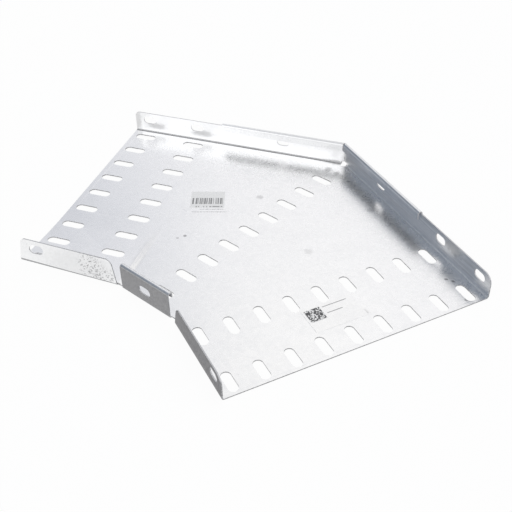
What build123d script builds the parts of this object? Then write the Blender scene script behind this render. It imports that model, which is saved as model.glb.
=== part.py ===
"""Flat 45 degree bend for perforated cable tray, folded from one zinc coated sheet, with two film labels.

Units are millimetres. The entry arm opens to -X, the exit arm leaves the bend at 45 degrees towards +X and -Y,
and +Z is up. The origin is on the underside, where the centrelines of the two arms cross. The inner side of
the entry arm is bent: the bed rises towards its fold and the side leans inwards.
"""

import os
from math import cos, radians, sin, sqrt, tan

from build123d import *

# Sheet and folds
sheet = 1.0
fold_radius = 1.6
bed_overlap = 4.0

# Plan of the bend, with the half widths measured from a centreline to the outer faces of the sides
bend_angle = 45.0
outer_half_width = 112.5
inner_half_width = 111.5
entry_reach = 166.4
exit_reach = 164.4
throat_length = 55.6

# Heights of the sides, from the underside
side_height = 21.0
lipped_height = 23.9

# Curled lip along the top of a side
lip_width = 4.8
lip_radius = 1.8
outer_lip_depth = 7.0
throat_lip_depth = 5.2

# Ends of the sides, measured along an arm from the crossing of the centrelines
lip_reach = 74.0
inner_side_foot = 81.0
inner_side_top = 86.8
inner_corner_radius = 7.0
throat_side_length = 52.4
throat_side_shift = 1.3
entry_end_radius = 4.5
exit_end_radius = 8.0

# Bent inner side of the entry arm: place of its foot, rise of the foot and lean, at either end
bend_start = 35.0
open_foot = 109.5
open_rise = 4.7
open_lean = 8.1
throat_foot = 111.5
throat_rise = 1.5
throat_lean = 14.2
open_set_back = 1.3
wall_spare = 4.0
trim_depth = 12.0

# Gap between the outer sides, and the round relief at its foot
corner_gap = 0.8
relief_radius = 3.0
relief_inset = 2.5
relief_height = 3.5

# Slots in the bed
slot_pitch = 25.0
slots_in_row = 9
bed_slot_length = 20.0
bed_slot_width = 8.0
first_row = 102.0
row_spacing = 50.0
mitre_row_centre = -14.7

# Slots in the sides
side_slot_length = 12.5
side_slot_width = 7.5
side_slot_height = 13.5
throat_slot_height = 12.3
outer_slot_places = (14.0, 101.5, 151.5)
inner_slot_place = 151.5

# Film labels, face to face with the bed
film = 0.12
barcode_label_size = (44.0, 33.0)
barcode_label_radius = 7.0
barcode_label_turn = 17.5
barcode_label_place = (-53.5, 17.5)
code_label_size = (26.0, 44.0)
code_label_radius = 1.5
code_label_place = (125.5, -1.0)

# Directions and distances that follow from the sizes above
half_angle = bend_angle / 2
outer_fold_edge = outer_half_width - fold_radius - sheet / 2
inner_fold_edge = inner_half_width - fold_radius - sheet / 2
corner_reach = outer_half_width / cos(radians(half_angle))
throat_reach = inner_half_width / cos(radians(half_angle)) + throat_length / 2 * tan(radians(half_angle))
throat_edge = throat_reach - fold_radius - sheet / 2
strip_start = throat_edge * sin(radians(half_angle)) + throat_length / 2 * cos(radians(half_angle))

up = Vector(0, 0, 1)
entry_out = Vector(-1, 0, 0)
exit_out = Vector(cos(radians(bend_angle)), -sin(radians(bend_angle)), 0)
outer_corner_way = Vector(sin(radians(half_angle)), cos(radians(half_angle)), 0)
throat_way = -outer_corner_way
mitre_plane = Plane(origin=(0, 0, 0), x_dir=outer_corner_way, z_dir=outer_corner_way.cross(up))
mitre_bed_plane = Plane(origin=(0, 0, 0), x_dir=outer_corner_way, z_dir=up)
exit_plane = Plane(origin=(0, 0, 0), x_dir=exit_out, z_dir=up)
exit_end_plane = Plane(origin=exit_out * exit_reach, z_dir=exit_out)
exit_along = Axis((0, 0, 0), exit_out)
exit_across = Axis((0, 0, 0), exit_plane.y_dir)
throat_plane = Plane(origin=throat_way * throat_reach, x_dir=mitre_plane.z_dir, z_dir=throat_way)
barcode_label_way = Vector(cos(radians(barcode_label_turn)), sin(radians(barcode_label_turn)), 0)


def section_plane(foot, outward):
    """Plane across a side, with X outwards and Y up from a foot point on the side's outer face."""
    return Plane(origin=foot, x_dir=outward, z_dir=outward.cross(up))


def plain_section(place, strip):
    """Section of a plain side: a strip of the bed of the given width, the fold and the wall."""
    wall = -sheet / 2
    with BuildSketch(place) as section:
        with BuildLine():
            FilletPolyline(
                (-strip, sheet / 2),
                (wall, sheet / 2),
                (wall, side_height),
                radius=fold_radius,
            )
        trace(line_width=sheet)
    return section.sketch


def lipped_section(place, depth):
    """Section of a side with a lip: the wall turns inwards at the top and then down again."""
    wall = -sheet / 2
    crest = lipped_height - sheet / 2
    lip_wall = sheet / 2 - lip_width
    with BuildSketch(place) as section:
        with BuildLine():
            FilletPolyline(
                (-bed_overlap, sheet / 2),
                (wall, sheet / 2),
                (wall, crest),
                (lip_wall, crest),
                (lip_wall, lipped_height - depth),
                radius=(fold_radius, lip_radius, lip_radius),
            )
        trace(line_width=sheet)
    return section.sketch


def rise_at(out, foot, rise):
    """Height that the bent bed has gained at a distance from the centreline, on an arc that ends at the foot."""
    run = foot - bend_start
    radius = (run**2 + rise**2) / (2 * rise)
    return radius - sqrt(radius**2 - (out - bend_start) ** 2)


def bent_plane(reach):
    """Plane across the entry arm, with X towards its inner side and Y up from where the bed starts to rise."""
    return section_plane(entry_out * reach - Vector(0, bend_start, 0), Vector(0, -1, 0))


def bent_section(reach, foot, rise, lean):
    """Section of the bent side: the rising bed, the fold and the leaning wall, with spare height to trim."""
    corner = Vector(foot - bend_start - sheet / 2, rise + sheet / 2)
    wall_way = Vector(-sin(radians(lean)), cos(radians(lean)))
    with BuildSketch(bent_plane(reach)) as section:
        with BuildLine() as middle:
            TangentArc((0, sheet / 2), corner, tangent=(1, 0))
            Line(corner, corner + wall_way * (side_height + wall_spare))
            fillet(middle.vertices().sort_by_distance(corner)[0], radius=fold_radius)
        trace(line_width=sheet)
    return section.sketch


def bent_bed_section(reach, foot, rise):
    """Section of the rising bed alone, up to where its fold would begin."""
    out = foot - fold_radius - sheet / 2
    with BuildSketch(bent_plane(reach)) as section:
        with BuildLine():
            if rise:
                TangentArc((0, sheet / 2), (out - bend_start, rise_at(out, foot, rise) + sheet / 2), tangent=(1, 0))
            else:
                Line((0, sheet / 2), (out - bend_start, sheet / 2))
        trace(line_width=sheet)
    return section.sketch


def side_trim(place, reach, set_back, foot_rise, throat_top, open_top, end_radius):
    """Region cut off an inner side: past its slanted end, over its top edge and round its open end."""
    foot = foot_rise + fold_radius
    open_low = open_top - side_height + 2 * fold_radius
    over = open_top + 2 * wall_spare
    slanted_corner = (inner_side_top, throat_top)
    open_corner = (reach - set_back, open_top)
    with BuildSketch(place) as region:
        with BuildLine() as outline:
            Polyline(
                (inner_side_foot, foot),
                slanted_corner,
                open_corner,
                (reach, open_low),
                (reach + sheet, open_low),
                (reach + sheet, over),
                (inner_side_foot - sheet, over),
                (inner_side_foot - sheet, foot),
                close=True,
            )
            fillet(outline.vertices().sort_by_distance(slanted_corner)[0], radius=inner_corner_radius)
            fillet(outline.vertices().sort_by_distance(open_corner)[0], radius=end_radius)
        make_face()
    return region.sketch


with BuildPart() as tray_bend:
    # Outer side of the entry arm: plain at the open end, lipped on to the corner and mitred there
    open_end = entry_out * entry_reach + Vector(0, outer_half_width, 0)
    lip_end = entry_out * lip_reach + Vector(0, outer_half_width, 0)
    plain_end = plain_section(section_plane(open_end, Vector(0, 1, 0)), bed_overlap)
    extrude(plain_end, amount=entry_reach - lip_reach)
    outer_lip = lipped_section(section_plane(lip_end, Vector(0, 1, 0)), outer_lip_depth)
    extrude(outer_lip, amount=lip_reach + outer_half_width)
    split(bisect_by=mitre_plane.offset(-corner_gap / 2), keep=Keep.BOTTOM)
    with BuildSketch(Plane.XZ.offset(-outer_half_width)):
        with Locations(*[(-place, side_slot_height) for place in outer_slot_places]):
            SlotOverall(side_slot_length, side_slot_width)
    extrude(amount=2 * sheet, mode=Mode.SUBTRACT)

    # Half of the bed, without the strip that carries the inner side of the arm
    with BuildSketch():
        with BuildLine():
            Polyline(
                (-entry_reach, outer_fold_edge),
                outer_corner_way * (outer_fold_edge / cos(radians(half_angle))),
                throat_way * throat_edge,
                throat_way * throat_edge - mitre_plane.z_dir * (throat_length / 2),
                (-strip_start, -bend_start),
                (-entry_reach, -bend_start),
                close=True,
            )
        make_face()
    extrude(amount=sheet)

    # The exit arm mirrors the entry arm about the mitre and is cut a little shorter
    mirror(about=mitre_plane)
    split(bisect_by=exit_end_plane, keep=Keep.BOTTOM)

    # Inner side of the exit arm, with its strip of the bed
    exit_side_end = exit_end_plane.origin - exit_plane.y_dir * inner_half_width
    exit_side = plain_section(section_plane(exit_side_end, -exit_plane.y_dir), inner_half_width - bend_start)
    extrude(exit_side, amount=exit_reach - inner_side_foot)
    with BuildSketch(exit_plane):
        with Locations((inner_side_foot, -bend_start)):
            Rectangle(inner_side_foot - strip_start, inner_fold_edge - bend_start, align=(Align.MAX, Align.MAX))
    extrude(amount=sheet)
    exit_inner_plane = Plane(origin=-exit_plane.y_dir * inner_half_width, x_dir=exit_out, z_dir=-exit_plane.y_dir)
    trim = side_trim(exit_inner_plane, exit_reach, 0, 0, side_height, side_height, exit_end_radius)
    extrude(trim, amount=-trim_depth, mode=Mode.SUBTRACT)
    with BuildSketch(exit_inner_plane):
        with Locations((inner_slot_place, side_slot_height)):
            SlotOverall(side_slot_length, side_slot_width)
    extrude(amount=-2 * sheet, mode=Mode.SUBTRACT)

    # Bent inner side of the entry arm, with the bed that rises towards it
    throat_section = bent_section(inner_side_foot, throat_foot, throat_rise, throat_lean)
    loft([throat_section, bent_section(entry_reach, open_foot, open_rise, open_lean)], ruled=True)
    flat_section = bent_bed_section(strip_start, inner_half_width, 0)
    loft([flat_section, bent_bed_section(inner_side_foot, throat_foot, throat_rise)], ruled=True)
    entry_inner_plane = Plane(origin=(0, -inner_half_width, 0), x_dir=entry_out, z_dir=(0, 1, 0))
    open_top = open_rise + side_height * cos(radians(open_lean))
    throat_top = throat_rise + side_height * cos(radians(throat_lean))
    trim = side_trim(
        entry_inner_plane, entry_reach, open_set_back, throat_rise, throat_top, open_top, entry_end_radius
    )
    extrude(trim, amount=trim_depth, mode=Mode.SUBTRACT)

    # Slot of the bent side, square to its lean
    part_way = (inner_slot_place - inner_side_foot) / (entry_reach - inner_side_foot)
    slot_lean = radians(throat_lean + (open_lean - throat_lean) * part_way)
    slot_foot = throat_foot + (open_foot - throat_foot) * part_way
    slot_rise = throat_rise + (open_rise - throat_rise) * part_way
    slot_centre = Vector(
        -inner_slot_place,
        side_slot_height * sin(slot_lean) - slot_foot,
        side_slot_height * cos(slot_lean) + slot_rise,
    )
    with BuildSketch(Plane(origin=slot_centre, x_dir=entry_out, z_dir=(0, -cos(slot_lean), sin(slot_lean)))):
        SlotOverall(side_slot_length, side_slot_width)
    extrude(amount=2 * sheet, both=True, mode=Mode.SUBTRACT)

    # Middle inner side, lipped, across the throat of the bend and a little nearer to the entry arm
    throat_start = throat_way * throat_reach + mitre_plane.z_dir * (throat_side_length / 2 - throat_side_shift)
    throat_lip = lipped_section(section_plane(throat_start, throat_way), throat_lip_depth)
    extrude(throat_lip, amount=throat_side_length)
    with BuildSketch(throat_plane):
        with Locations((-throat_side_shift, throat_slot_height)):
            SlotOverall(side_slot_length, side_slot_width)
    extrude(amount=-2 * sheet, mode=Mode.SUBTRACT)

    # Two rows of slots across either arm of the bed, a row along the mitre and the relief at the outer corner
    for arm_plane in (Plane(origin=(0, 0, 0), x_dir=entry_out, z_dir=up), exit_plane):
        with BuildSketch(arm_plane):
            with Locations((first_row + row_spacing / 2, 0)):
                with GridLocations(row_spacing, slot_pitch, 2, slots_in_row):
                    SlotOverall(bed_slot_length, bed_slot_width)
        extrude(amount=open_rise + 2 * sheet, mode=Mode.SUBTRACT)
    with BuildSketch(mitre_bed_plane):
        with Locations((mitre_row_centre, 0)):
            with GridLocations(slot_pitch, slot_pitch, slots_in_row, 1):
                SlotOverall(bed_slot_length, bed_slot_width, rotation=90)
    extrude(amount=sheet, mode=Mode.SUBTRACT)
    with BuildSketch(mitre_bed_plane):
        with Locations((corner_reach - relief_inset, 0)):
            Circle(relief_radius)
    extrude(amount=relief_height, mode=Mode.SUBTRACT)

    # Rounded top corners of the outer sides at the two open ends
    outer_edges = edges().filter_by(Axis.Y).filter_by_position(Axis.Y, outer_fold_edge, outer_half_width)
    fillet(outer_edges.group_by(Axis.X)[0].group_by(Axis.Z)[-1], radius=entry_end_radius)
    exit_edges = edges().filter_by(exit_across).filter_by_position(exit_across, outer_fold_edge, outer_half_width)
    fillet(exit_edges.group_by(exit_along)[-1].group_by(Axis.Z)[-1], radius=exit_end_radius)

with BuildPart() as barcode_label:
    with BuildSketch(Plane(origin=(*barcode_label_place, sheet), x_dir=barcode_label_way, z_dir=up)):
        RectangleRounded(*barcode_label_size, barcode_label_radius)
    extrude(amount=film)

with BuildPart() as code_label:
    with BuildSketch(exit_plane.offset(sheet)):
        with Locations(code_label_place):
            RectangleRounded(*code_label_size, code_label_radius)
    extrude(amount=film)

os.makedirs("parts", exist_ok=True)
tray_bend.part.label = "tray_bend"
barcode_label.part.label = "barcode_label"
code_label.part.label = "code_label"
export_step(tray_bend.part, "parts/tray_bend.step")
export_step(barcode_label.part, "parts/barcode_label.step")
export_step(code_label.part, "parts/code_label.step")
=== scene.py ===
"""Looks of a galvanised 45 degree cable tray bend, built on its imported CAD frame.

The CAD frame is in metres: the floor is the plane z = 0, +Y is the outer side of the entry arm, and
the exit arm leaves at 45 degrees towards +X and -Y. Patterns and marks on the sheet are placed in
millimetres of that frame, along and across the arm they lie on.
"""

import logging
import math
from dataclasses import dataclass
from enum import Enum
from typing import Optional, Union

import bmesh
import bpy
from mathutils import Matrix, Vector
from mathutils.bvhtree import BVHTree

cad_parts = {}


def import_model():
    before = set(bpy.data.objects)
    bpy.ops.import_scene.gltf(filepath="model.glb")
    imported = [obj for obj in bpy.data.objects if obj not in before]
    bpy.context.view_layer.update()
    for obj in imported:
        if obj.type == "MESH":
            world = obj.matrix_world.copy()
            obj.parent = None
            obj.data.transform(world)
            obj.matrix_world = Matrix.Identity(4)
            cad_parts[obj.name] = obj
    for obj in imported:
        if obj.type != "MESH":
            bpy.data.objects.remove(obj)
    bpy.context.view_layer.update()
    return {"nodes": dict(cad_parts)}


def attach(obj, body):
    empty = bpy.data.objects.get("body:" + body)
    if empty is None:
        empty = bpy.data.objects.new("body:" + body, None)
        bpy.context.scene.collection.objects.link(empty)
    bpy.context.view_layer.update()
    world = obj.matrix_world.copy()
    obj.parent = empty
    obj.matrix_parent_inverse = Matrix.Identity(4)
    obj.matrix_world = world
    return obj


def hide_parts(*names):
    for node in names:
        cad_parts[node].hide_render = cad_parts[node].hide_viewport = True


LOG = logging.getLogger("tray_bend")
MM = 0.001
WELD = 0.000002

Colour = tuple[float, float, float, float]
Area = tuple[float, float, float, float]
Span = tuple[float, float]
Place = tuple[float, float, float]
Socket = bpy.types.NodeSocket
Feed = Union[Socket, float, Vector, Colour]


class Slot(Enum):
    """Names of two material slots, which nothing in this script uses."""

    SHEET = "galvanised_sheet"
    FILM = "label_film"


class Turn(Enum):
    """Directions in which the parts of the bend run, in degrees about +Z."""

    ENTRY = 0.0
    EXIT = -45.0
    MIDDLE = -22.5
    BARCODE = 17.5


class Mark(Enum):
    """Face attributes of the sheet that its finishes read."""

    DULL = "painted_shade_on_side"
    FOLD = "fold_shade"
    TOP = "painted_edge_highlight"


@dataclass(frozen=True)
class Noise:
    """Cloudy noise: width of its largest clouds in millimetres, its finer layers and their share."""

    size: float
    detail: float = 2.0
    roughness: float = 0.5


class Finish:
    """Node tree of one material, with short calls for the nodes that the finishes share."""

    def __init__(self, name: str) -> None:
        """Starts an empty material.

        Args:
            name: name of the material.
        """
        self.material = bpy.data.materials.new(name)
        self.material.use_nodes = True
        self.nodes = self.material.node_tree.nodes
        self.links = self.material.node_tree.links
        self.nodes.clear()

    def node(self, kind: str, **settings: object) -> bpy.types.Node:
        """Adds a node.

        Args:
            kind: Blender's type name of the node.
            settings: attributes to set on it.

        Returns:
            The new node.
        """
        made = self.nodes.new(kind)
        for key, value in settings.items():
            setattr(made, key, value)
        return made

    def put(self, socket: Socket, value: Feed) -> None:
        """Links a socket to another one, or sets its value.

        Args:
            socket: the input socket.
            value: an output socket, or a number, vector or colour.
        """
        if isinstance(value, Socket):
            self.links.new(value, socket)
        else:
            socket.default_value = value

    def calc(self, operation: str, *values: Feed) -> Socket:
        """Adds a Math node.

        Args:
            operation: what the node works out.
            values: its operands.

        Returns:
            The result.
        """
        made = self.node("ShaderNodeMath", operation=operation)
        for socket, value in zip(made.inputs, values):
            self.put(socket, value)
        return made.outputs[0]

    def times(self, first: Feed, second: Feed) -> Socket:
        """Multiplies two values."""
        return self.calc("MULTIPLY", first, second)

    def add(self, first: Feed, second: Feed) -> Socket:
        """Adds two values."""
        return self.calc("ADD", first, second)

    def larger(self, first: Feed, second: Feed) -> Socket:
        """Takes the larger of two values."""
        return self.calc("MAXIMUM", first, second)

    def step(self, value: Feed, low: float, high: float,
             to_low: float = 0.0, to_high: float = 1.0) -> Socket:
        """Maps a value smoothly from one range to another, and holds it outside.

        Args:
            value: the value.
            low: where the result is to_low.
            high: where the result is to_high.
            to_low: first end of the result.
            to_high: second end of the result.

        Returns:
            The mapped value.
        """
        made = self.node("ShaderNodeMapRange", interpolation_type="SMOOTHSTEP")
        for socket, part in zip(made.inputs, (value, low, high, to_low, to_high)):
            self.put(socket, part)
        return made.outputs[0]

    def band(self, value: Feed, low: float, high: float, soft: float) -> Socket:
        """Gives 1 between two values and 0 outside, with soft ends.

        Args:
            value: the value.
            low: lower end.
            high: upper end.
            soft: width of each soft end.

        Returns:
            The mask.
        """
        rise = self.step(value, low - soft / 2, low + soft / 2)
        fall = self.step(value, high - soft / 2, high + soft / 2, 1.0, 0.0)
        return self.times(rise, fall)

    def blend(self, factor: Feed, first: Feed, second: Feed) -> Socket:
        """Mixes two colours.

        Args:
            factor: 0 for the first colour, 1 for the second.
            first: the first colour.
            second: the second colour.

        Returns:
            The mixed colour.
        """
        made = self.node("ShaderNodeMix", data_type="RGBA")
        self.put(made.inputs["Factor"], factor)
        self.put(made.inputs[6], first)
        self.put(made.inputs[7], second)
        return made.outputs[2]

    def place(self, turn: Turn, origin: Vector = Vector((0.0, 0.0, 0.0)),
              size: Place = (1.0, 1.0, 1.0)) -> Socket:
        """Gives the place on the object, in axes turned about +Z.

        Args:
            turn: direction of the first axis.
            origin: where the axes start, in millimetres of the frame.
            size: length of one unit along each axis, in millimetres.

        Returns:
            The place as a vector.
        """
        mapping = self.node("ShaderNodeMapping", vector_type="TEXTURE")
        self.put(mapping.inputs["Vector"], self.node("ShaderNodeTexCoord").outputs["Object"])
        mapping.inputs["Location"].default_value = origin * MM
        mapping.inputs["Rotation"].default_value = (0.0, 0.0, math.radians(turn.value))
        mapping.inputs["Scale"].default_value = Vector(size) * MM
        return mapping.outputs[0]

    def parts(self, vector: Socket) -> tuple[Socket, ...]:
        """Splits a vector into its three numbers.

        Args:
            vector: the vector or colour.

        Returns:
            Its numbers.
        """
        made = self.node("ShaderNodeSeparateXYZ")
        self.put(made.inputs[0], vector)
        return tuple(made.outputs)

    def noise(self, vector: Socket, noise: Noise) -> Socket:
        """Adds cloudy noise.

        Args:
            vector: the place in millimetres.
            noise: the noise wanted.

        Returns:
            The noise, about 0.5 on average.
        """
        made = self.node("ShaderNodeTexNoise")
        self.put(made.inputs["Vector"], vector)
        made.inputs["Scale"].default_value = 1.0 / noise.size
        made.inputs["Detail"].default_value = noise.detail
        made.inputs["Roughness"].default_value = noise.roughness
        return made.outputs["Fac"]

    def cells(self, vector: Socket, size: float, output: str) -> Socket:
        """Adds irregular cells.

        Args:
            vector: the place in millimetres.
            size: width of a cell, in millimetres.
            output: which output of the node is wanted.

        Returns:
            The chosen output.
        """
        made = self.node("ShaderNodeTexVoronoi")
        self.put(made.inputs["Vector"], vector)
        made.inputs["Scale"].default_value = 1.0 / size
        return made.outputs[output]

    def mark(self, mark: Mark) -> Socket:
        """Reads one face attribute of the sheet."""
        return self.node("ShaderNodeAttribute", attribute_name=mark.value).outputs["Fac"]

    def bump(self, height: Socket, strength: float, depth: float) -> Socket:
        """Turns a height into a bumped normal.

        Args:
            height: the height, 0 to 1.
            strength: how much of it counts.
            depth: depth of a full step in millimetres.

        Returns:
            The normal.
        """
        made = self.node("ShaderNodeBump")
        made.inputs["Strength"].default_value = strength
        made.inputs["Distance"].default_value = depth * MM
        self.put(made.inputs["Height"], height)
        return made.outputs[0]

    def metal(self, colour: Socket, roughness: Socket, normal: Socket) -> bpy.types.Node:
        """Adds the metal shader and the material output.

        Args:
            colour: base colour.
            roughness: roughness.
            normal: bumped normal.

        Returns:
            The shader node.
        """
        shader = self.node("ShaderNodeBsdfPrincipled")
        self.put(shader.inputs["Base Color"], colour)
        self.put(shader.inputs["Roughness"], roughness)
        self.put(shader.inputs["Normal"], normal)
        shader.inputs["Metallic"].default_value = 1.0
        self.put(self.node("ShaderNodeOutputMaterial").inputs["Surface"], shader.outputs[0])
        return shader


class DirtAndShade:
    """Anything that darkens the coat: real dirt and wear, and painted shade. Its places are
    millimetres along, across and up its axes.
    """

    def mask(self, finish: Finish) -> Socket:
        """Gives how strong the darkening is at each place, 0 for none."""
        raise NotImplementedError


@dataclass(frozen=True)
class Blot(DirtAndShade):
    """A soft round mark with a ragged rim, solid or broken into grains."""

    turn: Turn
    centre: Place
    half_size: Place
    strength: float
    grain: float = 2.0
    speckled: float = 0.0
    ragged: float = 1.2
    rim: Span = (1.1, 1.9)
    grain_edge: Span = (0.52, 0.62)

    def mask(self, finish: Finish) -> Socket:
        """Builds the mask of the blot, broken up by noise.

        Args:
            finish: the material that gets the nodes.

        Returns:
            Its strength in the middle of it, 0 outside.
        """
        way = math.radians(self.turn.value)
        along, across, up = self.centre
        origin = Vector((along * math.cos(way) - across * math.sin(way),
                         along * math.sin(way) + across * math.cos(way), up))
        reach = finish.node("ShaderNodeVectorMath", operation="LENGTH")
        finish.put(reach.inputs[0], finish.place(self.turn, origin, self.half_size))
        cloud = finish.noise(finish.place(self.turn), Noise(self.grain, 2.0, 0.6))
        edge = finish.add(reach.outputs["Value"], finish.times(cloud, self.ragged))
        mask = finish.step(edge, *self.rim, self.strength, 0.0)
        if not self.speckled:
            return mask
        return finish.times(mask, finish.step(cloud, *self.grain_edge, 1.0 - self.speckled, 1.0))


@dataclass(frozen=True)
class Crease(DirtAndShade):
    """Painted shade: the thin dark line in the inner fold of an outer side."""

    turn: Turn
    strength: float
    line: float = 109.9
    width: float = 2.2
    height: float = 2.1
    soft: float = 0.5
    fade: float = 0.3

    def strip(self, finish: Finish, across: Socket) -> Socket:
        """Gives 1 across the fold and 0 beside it."""
        return finish.band(across, self.line, self.line + self.width, self.soft)

    def mask(self, finish: Finish) -> Socket:
        """Builds the mask of the line.

        Args:
            finish: the material that gets the nodes.

        Returns:
            Its strength in the fold, 0 outside.
        """
        _, across, up = finish.parts(finish.place(self.turn))
        low = finish.step(up, self.height - self.fade, self.height + self.fade, 1.0, 0.0)
        return finish.times(finish.times(self.strip(finish, across), low), self.strength)


@dataclass(frozen=True)
class Streaks(DirtAndShade):
    """Fine streaks along the inner face of the exit arm's outer side."""

    turn: Turn = Turn.EXIT
    size: Place = (60.0, 1.6, 1.1)
    strength: float = 0.22
    levels: Span = (0.35, 0.7)
    across: Span = (106.0, 109.0)
    up: Span = (2.0, 4.0)

    def mask(self, finish: Finish) -> Socket:
        """Builds the mask of the streaks.

        Args:
            finish: the material that gets the nodes.

        Returns:
            Their strength, 0 beside them.
        """
        drawn = finish.noise(finish.place(self.turn, size=self.size), Noise(1.0, 2.0, 0.6))
        _, across, up = finish.parts(finish.place(self.turn))
        wall = finish.times(finish.step(across, *self.across), finish.step(up, *self.up))
        return finish.times(finish.step(drawn, *self.levels, 0.0, self.strength), wall)


@dataclass(frozen=True)
class FootLine(DirtAndShade):
    """Painted shade: the dark line along the foot of the bent side, which climbs with the bed."""

    turn: Turn = Turn.ENTRY
    strength: float = 0.62
    slope: float = 0.046
    level: float = -0.35
    fade: float = 0.3
    across: Span = (-109.0, -108.0)
    along: Span = (-172.0, -79.0)
    soft: float = 1.0

    def mask(self, finish: Finish) -> Socket:
        """Builds the mask of the line.

        Args:
            finish: the material that gets the nodes.

        Returns:
            Its strength, 0 above it.
        """
        along, across, up = finish.parts(finish.place(self.turn))
        rising = finish.add(up, finish.times(along, self.slope))
        low = finish.step(rising, self.level - self.fade, self.level + self.fade, self.strength, 0.0)
        side = finish.times(finish.step(across, *self.across, 1.0, 0.0),
                            finish.band(along, *self.along, self.soft))
        return finish.times(low, side)


# Painted shade in the inner fold of the exit arm's outer side, whose strip also sets the fold's
# roughness
EXIT_CREASE = Crease(Turn.EXIT, 0.1)
WEAR_AND_PAINTED_SHADE: tuple[DirtAndShade, ...] = (
    # Smudges, scratches and specks on the bed
    Blot(Turn.ENTRY, (34.1, 97.5, 1.0), (3.2, 4.6, 2.0), 0.4, 1.5),
    Blot(Turn.ENTRY, (43.0, 93.8, 1.0), (2.6, 2.6, 2.0), 0.35, 1.5),
    Blot(Turn.ENTRY, (180.1, -44.6, 1.0), (1.8, 1.8, 2.0), 0.5, 1.5),
    Blot(Turn.ENTRY, (85.3, 46.2, 1.0), (4.0, 3.0, 2.0), 0.25, 1.0),
    Blot(Turn.ENTRY, (161.7, -25.5, 1.0), (1.6, 1.2, 2.0), 0.6, 1.2),
    Blot(Turn.ENTRY, (167.2, -26.1, 1.0), (1.6, 1.2, 2.0), 0.6, 1.2),
    Blot(Turn.ENTRY, (-54.7, -35.6, 1.0), (1.6, 1.4, 2.0), 0.6, 1.2),
    Blot(Turn.ENTRY, (-59.5, -40.2, 1.0), (1.4, 1.2, 2.0), 0.3, 1.2),
    Blot(Turn.ENTRY, (49.7, -24.5, 1.0), (4.0, 3.5, 2.0), 0.15),
    Blot(Turn.ENTRY, (-12.4, 36.6, 1.0), (3.2, 3.0, 2.0), 0.28, 1.6),
    Blot(Turn.ENTRY, (108.5, -81.3, 1.0), (4.5, 3.0, 2.0), 0.25, 1.5),
    # Painted shade that dims the reflected streak along the ramp beside the bent side
    Blot(Turn.ENTRY, (-78.8, -74.0, 1.5), (4.0, 36.0, 5.0), 0.10, 9.0),
    # Painted shadows below the slots of the entry arm's outer side, and darker towards the end of that
    # side
    Blot(Turn.ENTRY, (-144.0, 111.5, 8.3), (10.5, 2.0, 3.4), 0.26, 4.0),
    Blot(Turn.ENTRY, (-95.0, 111.5, 8.6), (11.5, 2.0, 3.4), 0.26, 4.0),
    Blot(Turn.ENTRY, (-164.5, 111.5, 9.0), (4.0, 2.0, 16.0), 0.25, 3.0),
    # Rubbed grain and haze of the bent side
    Blot(Turn.ENTRY, (-104.0, -109.5, 15.0), (14.0, 8.0, 16.0), 0.62, 1.7, 0.9),
    Blot(Turn.ENTRY, (-94.0, -109.5, 8.0), (15.0, 8.0, 10.0), 0.62, 1.5, 0.9),
    Blot(Turn.ENTRY, (-112.0, -109.5, 13.0), (34.0, 8.0, 16.0), 0.09, 2.5),
    # Painted shade darkening the entry arm's lip towards the corner, grain on the lip, and painted
    # shade in the corner end of its fold
    Blot(Turn.ENTRY, (45.0, 109.0, 20.0), (100.0, 7.0, 8.0), 0.15, 1.6),
    Blot(Turn.ENTRY, (25.0, 108.0, 19.0), (75.0, 6.0, 5.0), 0.28, 1.4, 0.8),
    Blot(Turn.ENTRY, (44.0, 111.0, 1.5), (22.0, 3.0, 2.5), 0.35),
    # The exit arm's outer side
    Blot(Turn.EXIT, (158.0, 111.5, 14.0), (9.0, 3.0, 18.0), 0.08, 5.0),
    Blot(Turn.EXIT, (118.0, 111.5, 16.5), (12.0, 3.0, 8.0), 0.40, 3.0),
    # Painted shade in the inner folds of the two outer sides, streaks on the exit arm's outer side,
    # and painted shade along the foot of the bent side
    Crease(Turn.ENTRY, 0.62),
    EXIT_CREASE,
    Streaks(),
    FootLine(),
)


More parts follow.
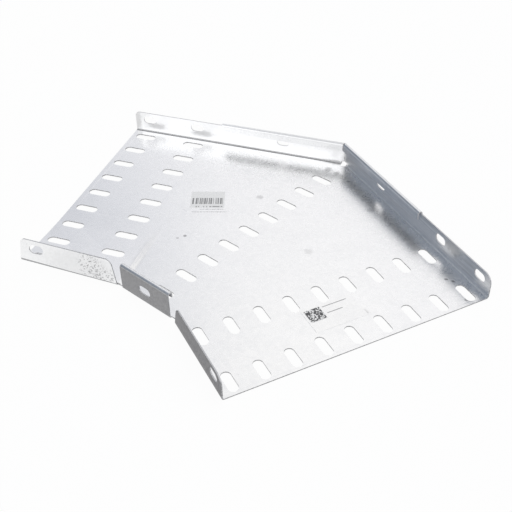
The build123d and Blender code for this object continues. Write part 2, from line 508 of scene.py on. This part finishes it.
@dataclass(frozen=True)
class ZincCoat:
    """Bright galvanised coat: small spangle, clouds, specks, soft waves, the marks on it, and painted
    shade.
    """

    pale: Colour = (0.955, 0.957, 0.962, 1.0)
    grey: Colour = (0.885, 0.89, 0.90, 1.0)
    speck: Colour = (0.55, 0.55, 0.56, 1.0)
    # Colour of the wear and of the painted shade among the marks
    grime_and_shade: Colour = (0.10, 0.10, 0.105, 1.0)
    shaded: Colour = (0.12, 0.13, 0.15, 1.0)
    # Colours of the painted shade on the outer faces of two inner sides and the middle side's lip
    painted_side_shade: Colour = (0.08, 0.079, 0.087, 1.0)
    painted_side_shade_pale: Colour = (0.15, 0.149, 0.157, 1.0)

    # Pattern of the colour, with the share of each layer
    clouds: Noise = Noise(26.0, 3.0)
    cloud_share: float = 0.45
    fine: Noise = Noise(2.2, 2.0, 0.6)
    fine_share: float = 0.65
    spangle_size: float = 2.4
    spangle_share: float = 0.2
    greying: Span = (0.4, 1.05)
    speck_pitch: float = 11.0
    speck_edge: Span = (0.03, 0.05)
    speck_strength: float = 0.4
    # Grain that mottles that painted side shade
    painted_side_shade_grain: Noise = Noise(1.6, 2.0, 0.7)
    painted_side_shade_levels: Span = (0.35, 0.65)

    # The entry arm's outer side has a calmer pattern
    calm_across: Span = (100.0, 108.0)
    calm_up: Span = (2.0, 4.0)
    calm_contrast: float = 0.3

    # Roughness of the bed and the sides, and what the exit arm's outer side adds to it
    roughness: float = 0.275
    side_roughness: float = 0.34
    side_up: Span = (2.0, 6.0)
    rough_clouds: Noise = Noise(5.0, 3.0)
    rough_levels: Span = (0.3, 0.7)
    rough_spread: Span = (-0.012, 0.018)
    fold_roughness: float = 0.12
    fold_up: Span = (1.6, 2.8)
    exit_roughness: float = 0.07
    exit_depth: float = 4.0
    exit_up: Span = (3.0, 5.0)

    # Waves of the surface
    ripple: Noise = Noise(2.4)
    ripple_share: float = 0.8
    grain: Noise = Noise(0.9, 1.0)
    grain_share: float = 0.2
    bump_strength: float = 0.035
    bump_depth: float = 0.25

    def colour(self, finish: Finish) -> Socket:
        """Builds the colour of the coat without its marks.

        Args:
            finish: the material that gets the nodes.

        Returns:
            The colour.
        """
        spot = finish.place(Turn.ENTRY)
        cell, _, _ = finish.parts(finish.cells(spot, self.spangle_size, "Color"))
        mixed = finish.add(finish.times(finish.noise(spot, self.clouds), self.cloud_share),
                           finish.times(finish.noise(spot, self.fine), self.fine_share))
        mixed = finish.add(finish.times(cell, self.spangle_share), mixed)
        _, across, up = finish.parts(spot)
        wall = finish.times(finish.step(up, *self.calm_up), finish.step(across, *self.calm_across))
        contrast = finish.step(wall, 0.0, 1.0, 1.0, self.calm_contrast)
        greyed = finish.times(finish.step(mixed, *self.greying), contrast)
        specks = finish.step(finish.cells(spot, self.speck_pitch, "Distance"),
                             *self.speck_edge, self.speck_strength, 0.0)
        return finish.blend(specks, finish.blend(greyed, self.pale, self.grey), self.speck)

    def grimed_and_shaded(self, finish: Finish, colour: Socket) -> Socket:
        """Adds the wear and the painted shade to the colour.

        Args:
            finish: the material that gets the nodes.
            colour: the colour below.

        Returns:
            The colour with its wear.
        """
        strength: Optional[Socket] = None
        for darkening in WEAR_AND_PAINTED_SHADE:
            mask = darkening.mask(finish)
            strength = mask if strength is None else finish.larger(strength, mask)
        return finish.blend(strength, colour, self.grime_and_shade)

    def rough(self, finish: Finish) -> Socket:
        """Builds the roughness of the coat, higher on the sides than on the bed.

        Args:
            finish: the material that gets the nodes.

        Returns:
            The roughness.
        """
        clouds = finish.noise(finish.place(Turn.ENTRY), self.rough_clouds)
        uneven = finish.step(clouds, *self.rough_levels, *self.rough_spread)
        _, across, up = finish.parts(finish.place(Turn.EXIT))
        even = finish.step(up, *self.side_up, self.roughness, self.side_roughness)
        fold = finish.times(EXIT_CREASE.strip(finish, across),
                            finish.step(up, *self.fold_up, self.fold_roughness, 0.0))
        line = EXIT_CREASE.line
        wall = finish.times(finish.band(across, line, line + self.exit_depth, EXIT_CREASE.soft),
                            finish.step(up, *self.exit_up, 0.0, self.exit_roughness))
        return finish.add(finish.add(even, finish.larger(fold, wall)), uneven)

    def waves(self, finish: Finish) -> Socket:
        """Builds the soft height of the coat.

        Args:
            finish: the material that gets the nodes.

        Returns:
            The height, 0 to 1.
        """
        spot = finish.place(Turn.ENTRY)
        return finish.add(finish.times(finish.noise(spot, self.ripple), self.ripple_share),
                          finish.times(finish.noise(spot, self.grain), self.grain_share))

    def build(self, name: str) -> bpy.types.Material:
        """Builds the material of the sheet's skins.

        Args:
            name: name of the material.

        Returns:
            The material.
        """
        finish = Finish(name)
        colour = self.grimed_and_shaded(finish, self.colour(finish))
        colour = finish.blend(finish.mark(Mark.FOLD), colour, self.shaded)
        grain = finish.step(finish.noise(finish.place(Turn.ENTRY), self.painted_side_shade_grain), *self.painted_side_shade_levels)
        # Painted shade on the outer faces of two inner sides and on the middle side's lip, mottled by
        # a grain
        colour = finish.blend(finish.mark(Mark.DULL), colour,
                              finish.blend(grain, self.painted_side_shade, self.painted_side_shade_pale))
        finish.metal(colour, self.rough(finish),
                     finish.bump(self.waves(finish), self.bump_strength, self.bump_depth))
        return finish.material


@dataclass(frozen=True)
class CutEdge:
    """Sheared edge of the sheet, darker and duller than its skins, with a painted highlight where it
    faces up and at the ends of the lips.
    """

    pale: Colour = (0.50, 0.50, 0.51, 1.0)
    dark: Colour = (0.30, 0.30, 0.31, 1.0)
    painted_highlight: Colour = (0.66, 0.66, 0.67, 1.0)
    streaks: Noise = Noise(1.5, 3.0, 0.7)
    colour_levels: Span = (0.35, 0.65)
    rough_levels: Span = (0.3, 0.7)
    roughness: Span = (0.4, 0.6)
    bump_strength: float = 0.4
    bump_depth: float = 0.1

    def build(self, name: str) -> bpy.types.Material:
        """Builds the material of the cut edges.

        Args:
            name: name of the material.

        Returns:
            The material.
        """
        finish = Finish(name)
        streaks = finish.noise(finish.place(Turn.ENTRY), self.streaks)
        colour = finish.blend(finish.step(streaks, *self.colour_levels), self.pale, self.dark)
        # Painted highlight on the cut edges that face up and at the ends of the lips
        colour = finish.blend(finish.mark(Mark.TOP), colour, self.painted_highlight)
        finish.metal(colour, finish.step(streaks, *self.rough_levels, *self.roughness),
                     finish.bump(streaks, self.bump_strength, self.bump_depth))
        return finish.material


@dataclass(frozen=True)
class PrintedFilm:
    """Clear label film over zinc, with a white patch and generic print.

    Areas are low and high place along the label, then low and high place across it.
    """

    turn: Turn
    patch: Area
    code: Area
    module: float
    square: bool
    rows: tuple[Area, ...]
    film_level: float = 0.0
    seed: float = 0.0
    ink_share: float = 0.95
    ink: Colour = (0.05, 0.05, 0.055, 1.0)
    paper: Colour = (0.88, 0.88, 0.87, 1.0)

    # Soft rims of the areas
    code_soft: float = 0.2
    row_soft: float = 0.3
    patch_soft: float = 0.6

    # Blank share of the code and ink of the rows: tall rows are dotted, thin ones are worn
    blank: float = 0.42
    dot: float = 0.9
    dot_blank: float = 0.4
    dot_ink: float = 0.6
    worn: Noise = Noise(1.1, 2.0, 0.6)
    worn_levels: Span = (0.42, 0.58)
    worn_ink: Span = (0.15, 0.7)
    patch_share: float = 0.85
    bump_strength: float = 0.08
    bump_depth: float = 0.2

    def inside(self, finish: Finish, x: Socket, y: Socket, area: Area, soft: float) -> Socket:
        """Gives 1 inside an upright rectangle and 0 outside.

        Args:
            finish: the material that gets the nodes.
            x: first coordinate in millimetres.
            y: second coordinate in millimetres.
            area: low and high x, then low and high y.
            soft: width of its soft rim.

        Returns:
            The mask.
        """
        return finish.times(finish.band(x, area[0], area[1], soft),
                            finish.band(y, area[2], area[3], soft))

    def cell(self, finish: Finish, value: Socket, size: float) -> Socket:
        """Numbers the cells of one size along a coordinate."""
        return finish.calc("FLOOR", finish.calc("DIVIDE", value, size))

    def modules(self, finish: Finish, x: Socket, y: Socket) -> Socket:
        """Gives 1 on the dark modules of the code, which come from a seeded draw.

        Args:
            finish: the material that gets the nodes.
            x: first coordinate in millimetres.
            y: second coordinate in millimetres.

        Returns:
            The mask.
        """
        joined = finish.node("ShaderNodeCombineXYZ")
        finish.put(joined.inputs[0], self.cell(finish, x, self.module))
        finish.put(joined.inputs[1], self.cell(finish, y, self.module) if self.square else self.seed)
        chance = finish.node("ShaderNodeTexWhiteNoise", noise_dimensions="2D")
        finish.put(chance.inputs["Vector"], joined.outputs[0])
        dark = finish.calc("GREATER_THAN", chance.outputs["Value"], self.blank)
        return finish.times(dark, self.inside(finish, x, y, self.code, self.code_soft))

    def printed(self, finish: Finish, x: Socket, y: Socket) -> Socket:
        """Gives the ink of the code and of the small rows.

        Args:
            finish: the material that gets the nodes.
            x: first coordinate in millimetres.
            y: second coordinate in millimetres.

        Returns:
            How much ink there is at each place.
        """
        ink = finish.times(self.modules(finish, x, y), self.ink_share)
        chance = finish.node("ShaderNodeTexWhiteNoise", noise_dimensions="1D")
        finish.put(chance.inputs["W"], self.cell(finish, x, self.dot))
        dots = finish.calc("GREATER_THAN", chance.outputs["Value"], self.dot_blank)
        cloud = finish.noise(finish.place(self.turn), self.worn)
        for area in self.rows:
            if area[3] - area[2] > self.dot:
                fill = finish.times(dots, self.dot_ink)
            else:
                fill = finish.step(cloud, *self.worn_levels, *self.worn_ink)
            row = finish.times(self.inside(finish, x, y, area, self.row_soft), fill)
            ink = finish.larger(ink, row)
        return ink

    def build(self, name: str) -> bpy.types.Material:
        """Builds the material of the label.

        Args:
            name: name of the material.

        Returns:
            The material.
        """
        finish = Finish(name)
        coat = ZincCoat()
        x, y, _ = finish.parts(finish.place(self.turn))
        patch = finish.times(self.inside(finish, x, y, self.patch, self.patch_soft), self.patch_share)
        ink = self.printed(finish, x, y)
        film = finish.blend(self.film_level, coat.colour(finish), self.paper)
        colour = finish.blend(ink, finish.blend(patch, film, self.paper), self.ink)
        shader = finish.metal(colour, coat.rough(finish),
                              finish.bump(coat.waves(finish), self.bump_strength, self.bump_depth))
        bare = finish.calc("SUBTRACT", 1.0, finish.larger(patch, ink))
        finish.put(shader.inputs["Metallic"], bare)
        return finish.material


def joined_copy(node: bpy.types.Object) -> bmesh.types.BMesh:
    """Copies the mesh of a CAD node and joins its loose triangles.

    Args:
        node: the CAD node, which stays as it is.

    Returns:
        The joined shape, with its faces pointing outwards.
    """
    shape = bmesh.new()
    shape.from_mesh(node.data)
    bmesh.ops.remove_doubles(shape, verts=shape.verts, dist=WELD)
    bmesh.ops.recalc_face_normals(shape, faces=shape.faces)
    return shape


def shown(name: str, shape: bmesh.types.BMesh) -> bpy.types.Object:
    """Puts a shape into the scene.

    Args:
        name: name of the object and of its mesh.
        shape: the shape, which is used up.

    Returns:
        The object.
    """
    mesh = bpy.data.meshes.new(name)
    shape.to_mesh(mesh)
    shape.free()
    piece = bpy.data.objects.new(name, mesh)
    bpy.context.scene.collection.objects.link(piece)
    return piece


@dataclass(frozen=True)
class TraySheet:
    """The folded and perforated sheet, one solid in the frame."""

    node: bpy.types.Object
    name: str = "bent_tray_sheet"
    sheet: float = 0.001
    smooth_angle: float = 34.0
    flatness: int = 100

    # A cut edge has more metal behind it than this many sheets, looked at from just under its face
    cut_depth: float = 1.5
    cut_start: float = 0.02

    # Painted highlight on the cut edges that face up, and on those that end the lips above lip_height
    facing_up: float = 0.5
    upright: float = 0.1
    lip_height: float = 0.0165
    lip_end_light: float = 0.6

    # Painted shade on the outer faces of two of the inner sides, and on the middle side's lip
    painted_shade_sides: tuple[tuple[Turn, float], ...] = ((Turn.EXIT, 1.0), (Turn.MIDDLE, 0.80))
    painted_shade_facing: float = 0.97
    painted_shade_reach: float = 0.1
    lip_reach: float = 0.126
    lip_half: float = 0.0285
    lip_tilt: float = 0.05

    # Shade under the folds and behind the entry arm's lip
    under_facing: Span = (-0.97, -0.3)
    under_shade: float = 0.32
    foot_shade: float = 0.95
    foot_height: float = 0.012
    lip_back_shade: float = 0.8
    lip_back_y: float = 0.1105
    lip_back_z: float = 0.022
    lip_back_facing: Span = (0.4, 0.2)

    def build(self) -> bpy.types.Object:
        """Builds a joined copy of the CAD solid with its cut edges, painted side shade, painted fold
        shade and painted edge highlights marked.

        Returns:
            The piece, which stands for the CAD node.
        """
        shape = joined_copy(self.node)
        painted_side_shade = shape.faces.layers.float.new(Mark.DULL.value)
        fold = shape.faces.layers.float.new(Mark.FOLD.value)
        edge_highlight_layer = shape.faces.layers.float.new(Mark.TOP.value)
        skins = BVHTree.FromBMesh(shape)
        for face in shape.faces:
            face.smooth = True
            face.material_index = int(self.is_cut(face, skins))
            face[painted_side_shade] = self.painted_side_shade_level(face)
            face[fold] = self.shade(face)
            face[edge_highlight_layer] = self.painted_highlight_level(face)
        piece = shown(self.name, shape)
        piece.data.set_sharp_from_angle(angle=math.radians(self.smooth_angle))
        even = piece.modifiers.new("even_folds", "WEIGHTED_NORMAL")
        even.weight = self.flatness
        even.keep_sharp = True
        return piece

    def is_cut(self, face: bmesh.types.BMFace, skins: BVHTree) -> bool:
        """Tells a cut edge from a skin by how much metal lies behind it.

        Args:
            face: a face of the sheet.
            skins: all faces of the sheet.

        Returns:
            True for a cut edge.
        """
        start = face.calc_center_median() - face.normal * self.sheet * self.cut_start
        return skins.ray_cast(start, -face.normal, self.sheet * self.cut_depth)[0] is None

    def painted_highlight_level(self, face: bmesh.types.BMFace) -> float:
        """Tells how much painted highlight a cut edge gets: those that face up and the ends of the
        lips get it.

        Args:
            face: a face of the sheet.

        Returns:
            Its lightness, 0 for a dark edge.
        """
        if face.normal.z > self.facing_up:
            return 1.0
        if abs(face.normal.z) < self.upright and face.calc_center_median().z > self.lip_height:
            return self.lip_end_light
        return 0.0

    def painted_side_shade_level(self, face: bmesh.types.BMFace) -> float:
        """Tells how much painted shade a face gets, which the outer faces of two of the inner sides
        and the middle side's lip do.

        Args:
            face: a face of the sheet.

        Returns:
            Its painted shade, 0 for none.
        """
        centre = face.calc_center_median()
        for turn, painted_side_shade_level in self.painted_shade_sides:
            way = math.radians(turn.value)
            outward = Vector((math.sin(way), -math.cos(way), 0.0))
            facing, reach = face.normal.dot(outward), centre.dot(outward)
            if facing > self.painted_shade_facing and reach > self.painted_shade_reach:
                return painted_side_shade_level
            along = centre.dot(Vector((math.cos(way), math.sin(way), 0.0)))
            on_lip = reach > self.lip_reach and abs(along) < self.lip_half
            if turn is Turn.MIDDLE and on_lip and face.normal.z > self.lip_tilt:
                return painted_side_shade_level * max(0.0, facing) ** 2
        return 0.0

    def shade(self, face: bmesh.types.BMFace) -> float:
        """Tells how far a face is shaded, which is under the folds and behind the entry lip.

        Args:
            face: a face of the sheet.

        Returns:
            Its shade, 0 for none.
        """
        centre, normal = face.calc_center_median(), face.normal
        if self.under_facing[0] < normal.z < self.under_facing[1]:
            return self.foot_shade if centre.z < self.foot_height else self.under_shade
        behind = centre.y > self.lip_back_y and centre.z > self.lip_back_z
        if behind and normal.y > self.lip_back_facing[0] and normal.z > self.lip_back_facing[1]:
            return self.lip_back_shade
        return 0.0

    def dress(self, piece: bpy.types.Object) -> None:
        """Gives the piece its finishes and its place in the frame.

        Args:
            piece: the built piece.
        """
        piece.data.materials.append(ZincCoat().build("zinc_coat"))
        piece.data.materials.append(CutEdge().build("cut_edge"))
        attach(piece, "root")
        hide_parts(self.node.name)


@dataclass(frozen=True)
class StickyLabel:
    """One printed label film on the bed."""

    node: bpy.types.Object
    film: PrintedFilm
    name: str

    def build(self) -> bpy.types.Object:
        """Builds a joined copy of the label's CAD solid, which stands for the CAD node."""
        return shown(self.name, joined_copy(self.node))

    def dress(self, piece: bpy.types.Object) -> None:
        """Gives the label its film and its place in the frame.

        Args:
            piece: the built piece.
        """
        piece.data.materials.append(self.film.build(self.name + "_print"))
        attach(piece, "root")
        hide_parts(self.node.name)


@dataclass(frozen=True)
class SkyPatch:
    """A soft round area of the studio's sky: even inside its core, gone at its rim, in degrees."""

    toward: Place
    core: float
    rim: float
    colour: Colour


@dataclass(frozen=True)
class Studio:
    """Floor, sky and camera of the picture."""

    floor_size: float = 12.0
    floor_drop: float = 0.00005
    floor_colour: Colour = (0.97, 0.97, 0.97, 1.0)
    floor_lift: float = 0.95
    sky_colour: Colour = (0.87, 0.875, 0.89, 1.0)
    patches: tuple[SkyPatch, ...] = (
        SkyPatch((-0.127, 0.720, 0.682), 14.0, 30.0, (0.975, 0.97, 0.985, 1.0)),
        SkyPatch((-0.177, 0.618, 0.766), 4.0, 13.0, (1.07, 1.06, 1.04, 1.0)),
        SkyPatch((-0.520, 0.620, 0.588), 10.5, 13.0, (0.785, 0.795, 0.845, 1.0)),
        SkyPatch((-0.26, 0.96, 0.04), 8.0, 18.0, (0.28, 0.29, 0.31, 1.0)),
        SkyPatch((-0.80, 0.08, 0.57), 24.0, 46.0, (0.19, 0.225, 0.28, 1.0)),
        SkyPatch((-0.287, -0.788, 0.545), 15.0, 31.0, (1.42, 1.42, 1.42, 1.0)),
    )
    camera_place: Place = (0.186032, -0.545952, 0.435289)
    camera_turn: Place = (50.8047, 0.8028, 18.5673)
    lens: float = 59.434
    sensor: float = 36.0

    def floor(self) -> bpy.types.Object:
        """Builds the pale floor, lifted to the backdrop's white where it is seen or mirrored.

        Returns:
            The floor.
        """
        shape = bmesh.new()
        bmesh.ops.create_grid(shape, x_segments=1, y_segments=1, size=self.floor_size / 2)
        bmesh.ops.translate(shape, verts=shape.verts, vec=(0.0, 0.0, -self.floor_drop))
        floor = shown("floor", shape)
        finish = Finish("floor_paper")
        plain = finish.node("ShaderNodeBsdfDiffuse")
        plain.inputs["Color"].default_value = self.floor_colour
        white = finish.node("ShaderNodeEmission")
        ray = finish.node("ShaderNodeLightPath").outputs
        seen = finish.larger(ray["Is Camera Ray"], ray["Is Glossy Ray"])
        seen = finish.larger(seen, ray["Is Transmission Ray"])
        mixed = finish.node("ShaderNodeMixShader")
        finish.put(mixed.inputs[0], finish.times(seen, self.floor_lift))
        finish.put(mixed.inputs[1], plain.outputs[0])
        finish.put(mixed.inputs[2], white.outputs[0])
        finish.put(finish.node("ShaderNodeOutputMaterial").inputs["Surface"], mixed.outputs[0])
        floor.data.materials.append(finish.material)
        return floor

    def sky(self) -> None:
        """Builds the soft studio sky, an even white with its patches laid over each other."""
        world = bpy.data.worlds.new("studio_sky")
        bpy.context.scene.world = world
        world.use_nodes = True
        nodes, links = world.node_tree.nodes, world.node_tree.links
        nodes.clear()
        way = nodes.new("ShaderNodeTexCoord").outputs["Generated"]
        below: Optional[Socket] = None
        for patch in self.patches:
            facing = nodes.new("ShaderNodeVectorMath")
            facing.operation = "DOT_PRODUCT"
            links.new(way, facing.inputs[0])
            facing.inputs[1].default_value = Vector(patch.toward).normalized()
            mask = nodes.new("ShaderNodeMapRange")
            mask.interpolation_type = "SMOOTHSTEP"
            links.new(facing.outputs["Value"], mask.inputs[0])
            mask.inputs[1].default_value = math.cos(math.radians(patch.rim))
            mask.inputs[2].default_value = math.cos(math.radians(patch.core))
            mixed = nodes.new("ShaderNodeMix")
            mixed.data_type = "RGBA"
            links.new(mask.outputs[0], mixed.inputs["Factor"])
            if below is None:
                mixed.inputs[6].default_value = self.sky_colour
            else:
                links.new(below, mixed.inputs[6])
            mixed.inputs[7].default_value = patch.colour
            below = mixed.outputs[2]
        background = nodes.new("ShaderNodeBackground")
        links.new(below, background.inputs["Color"])
        output = nodes.new("ShaderNodeOutputWorld")
        links.new(background.outputs[0], output.inputs["Surface"])

    def camera(self) -> bpy.types.Object:
        """Places the camera at the photograph's angle.

        Returns:
            The camera.
        """
        data = bpy.data.cameras.new("photo_camera")
        data.sensor_width = self.sensor
        data.lens = self.lens
        camera = bpy.data.objects.new("photo_camera", data)
        camera.location = self.camera_place
        camera.rotation_euler = tuple(math.radians(angle) for angle in self.camera_turn)
        bpy.context.scene.collection.objects.link(camera)
        bpy.context.scene.camera = camera
        bpy.context.scene.view_settings.view_transform = "Standard"
        return camera


BARCODE = PrintedFilm(
    turn=Turn.BARCODE, patch=(-62.0, -32.0, 22.0, 47.0), code=(-61.0, -33.5, 28.0, 37.2),
    module=0.5, square=False, ink_share=0.7, seed=11.0,
    rows=((-57.0, -33.5, 23.4, 25.0), (-53.0, -32.5, 19.8, 20.6), (-60.0, -29.5, 16.1, 16.7)))
MATRIX = PrintedFilm(
    turn=Turn.EXIT, patch=(114.0, 127.6, -21.4, -7.6), code=(114.3, 127.3, -21.0, -8.0),
    module=1.0, square=True, film_level=0.15,
    rows=((115.3, 116.1, -6.0, 15.0), (122.6, 123.4, -5.4, 8.0)))


def main() -> None:
    """Builds every piece of the bend and its studio, in order."""
    logging.basicConfig(level=logging.INFO, format="%(message)s")
    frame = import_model()
    nodes = frame["nodes"]
    for part in (TraySheet(nodes["tray_bend"]),
                 StickyLabel(nodes["barcode_label"], BARCODE, "bar_label"),
                 StickyLabel(nodes["code_label"], MATRIX, "matrix_label")):
        piece = part.build()
        part.dress(piece)
        LOG.info("%s: %d faces", piece.name, len(piece.data.polygons))

    studio = Studio()
    studio.floor()
    studio.sky()
    studio.camera()


if __name__ == "__main__":
    main()
